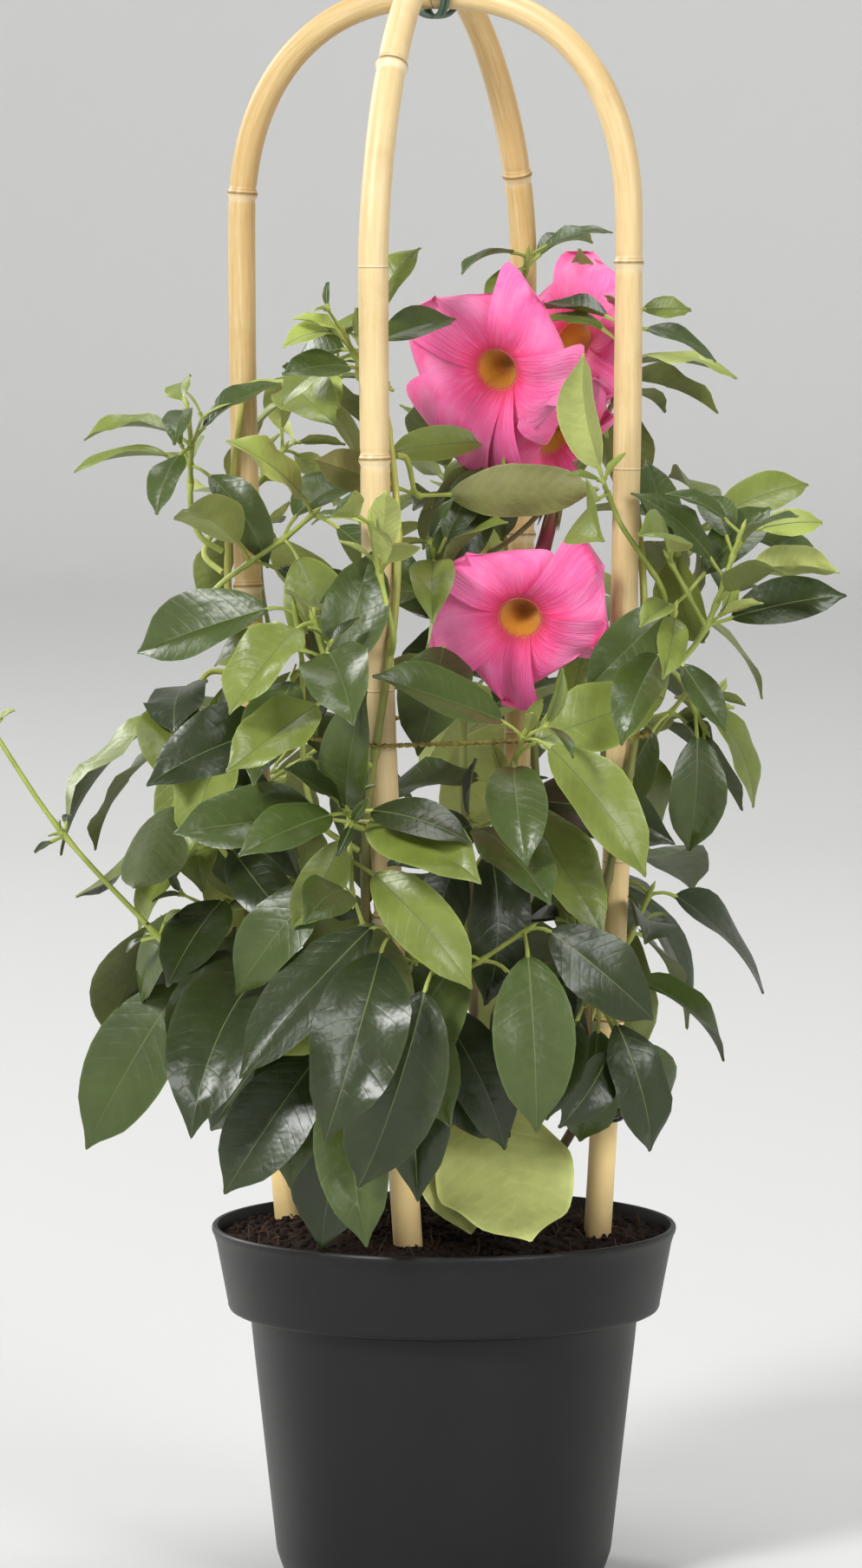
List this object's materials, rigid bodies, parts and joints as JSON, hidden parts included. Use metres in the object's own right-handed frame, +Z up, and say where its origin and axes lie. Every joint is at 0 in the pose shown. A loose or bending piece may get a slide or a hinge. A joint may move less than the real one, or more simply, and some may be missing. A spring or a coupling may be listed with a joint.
{
  "type": "potted mandevilla",
  "caption": "Potted climbing plant with opposite glossy leaves and pink trumpet blooms, trained up crossed bamboo hoops in a black round nursery pot.",
  "frame": {"origin": "centre of the pot's flat underside", "axes": "+Z up along the pot's axis; +Y away from the side the picture shows; +X to its right"},
  "size_m": [0.3193, 0.3237, 0.5977],
  "materials": {
    "pot_plastic": "matte black moulded plastic",
    "soil": "damp crumbly potting compost",
    "bamboo": "smooth pale bamboo",
    "tie_wire": "green plastic-coated wire",
    "twine": "thin brown twine",
    "green_stem": "smooth green climbing stem",
    "leaf": "glossy green leaves",
    "petal": "soft pink petals"
  },
  "bodies": {
    "root": {"binder": "twine", "bloom_lower": "petal", "bloom_middle": "petal", "bloom_upper_left": "petal", "bloom_upper_right": "petal", "cane_back_left": "bamboo", "cane_back_right": "bamboo", "cane_front_left": "bamboo", "cane_front_right": "bamboo", "crown_back_left": "leaf", "crown_back_right": "leaf", "crown_front_left": "leaf", "crown_front_right": "leaf", "crown_middle": "leaf", "left_runner": "leaf", "low_back": "leaf", "low_back_left": "leaf", "low_back_right": "leaf", "low_front": "leaf", "low_front_left": "leaf", "low_front_outer": "leaf", "low_left": "leaf", "low_middle": "leaf", "low_right": "leaf", "low_right_front": "leaf", "middle_back": "leaf", "middle_back_left": "leaf", "middle_front": "leaf", "middle_front_left": "leaf", "middle_left": "leaf", "middle_left_front": "leaf", "middle_left_low": "leaf", "middle_right": "leaf", "middle_right_back": "leaf", "pot": "pot_plastic", "soil": "soil", "stem_back_left": "green_stem", "stem_back_right": "green_stem", "stem_front_left": "green_stem", "stem_front_right": "green_stem", "stem_middle": "green_stem", "top_tie": "tie_wire", "upper_back_left": "leaf", "upper_back_middle": "leaf", "upper_back_right": "leaf", "upper_front_left": "leaf", "upper_left_arm": "leaf", "upper_left_front": "leaf", "upper_left_turned": "leaf", "upper_middle_front": "leaf", "upper_middle_turned": "leaf", "upper_right_back": "leaf", "upper_right_front": "leaf", "upper_right_shoot": "leaf", "upper_right_turned": "leaf"}
  },
  "joints": []
}
